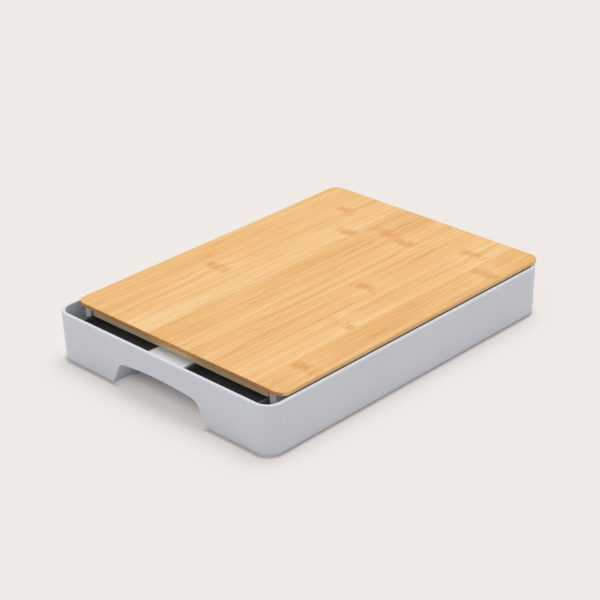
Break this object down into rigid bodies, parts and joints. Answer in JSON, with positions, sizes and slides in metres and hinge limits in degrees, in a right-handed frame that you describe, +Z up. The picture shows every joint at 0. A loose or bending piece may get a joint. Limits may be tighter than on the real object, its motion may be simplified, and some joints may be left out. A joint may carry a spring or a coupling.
{
  "type": "cutting board with drawer trays",
  "caption": "Bamboo cutting board that slides on a shallow plastic case, over two long drawer trays that pull out at one end.",
  "frame": {"origin": "on the table under the middle of the case", "axes": "+Z up; +X along the case from the end with the finger pocket to the end where the drawers pull out; +Y towards the left side seen from the pocket end"},
  "size_m": [0.3275, 0.245, 0.048],
  "materials": {
    "light_grey_plastic": "fine matt moulded surface",
    "slate_plastic": "satin moulded surface",
    "bamboo": "oiled bamboo strips, grain along the board",
    "bamboo_core": "sanded bamboo, grain across the board",
    "foot_rubber": "matt rubber"
  },
  "bodies": {
    "base": {"case": "light_grey_plastic", "left_rail": "light_grey_plastic", "right_rail": "light_grey_plastic", "centre_bridge": "light_grey_plastic", "near_left_foot": "foot_rubber", "near_right_foot": "foot_rubber", "far_left_foot": "foot_rubber", "far_right_foot": "foot_rubber"},
    "board": {"board_top_ply": "bamboo", "board_lower_ply": "bamboo_core"},
    "left_drawer": {"left_tray": "slate_plastic"},
    "right_drawer": {"right_tray": "slate_plastic"}
  },
  "joints": [
    {"name": "board_slide", "type": "slide", "parent": "base", "child": "board", "axis": [1, 0, 0], "range_m": [-0.0165, 0.12]},
    {"name": "left_drawer_slide", "type": "slide", "parent": "base", "child": "left_drawer", "axis": [1, 0, 0], "range_m": [0, 0.24]},
    {"name": "right_drawer_slide", "type": "slide", "parent": "base", "child": "right_drawer", "axis": [1, 0, 0], "range_m": [0, 0.24]}
  ]
}
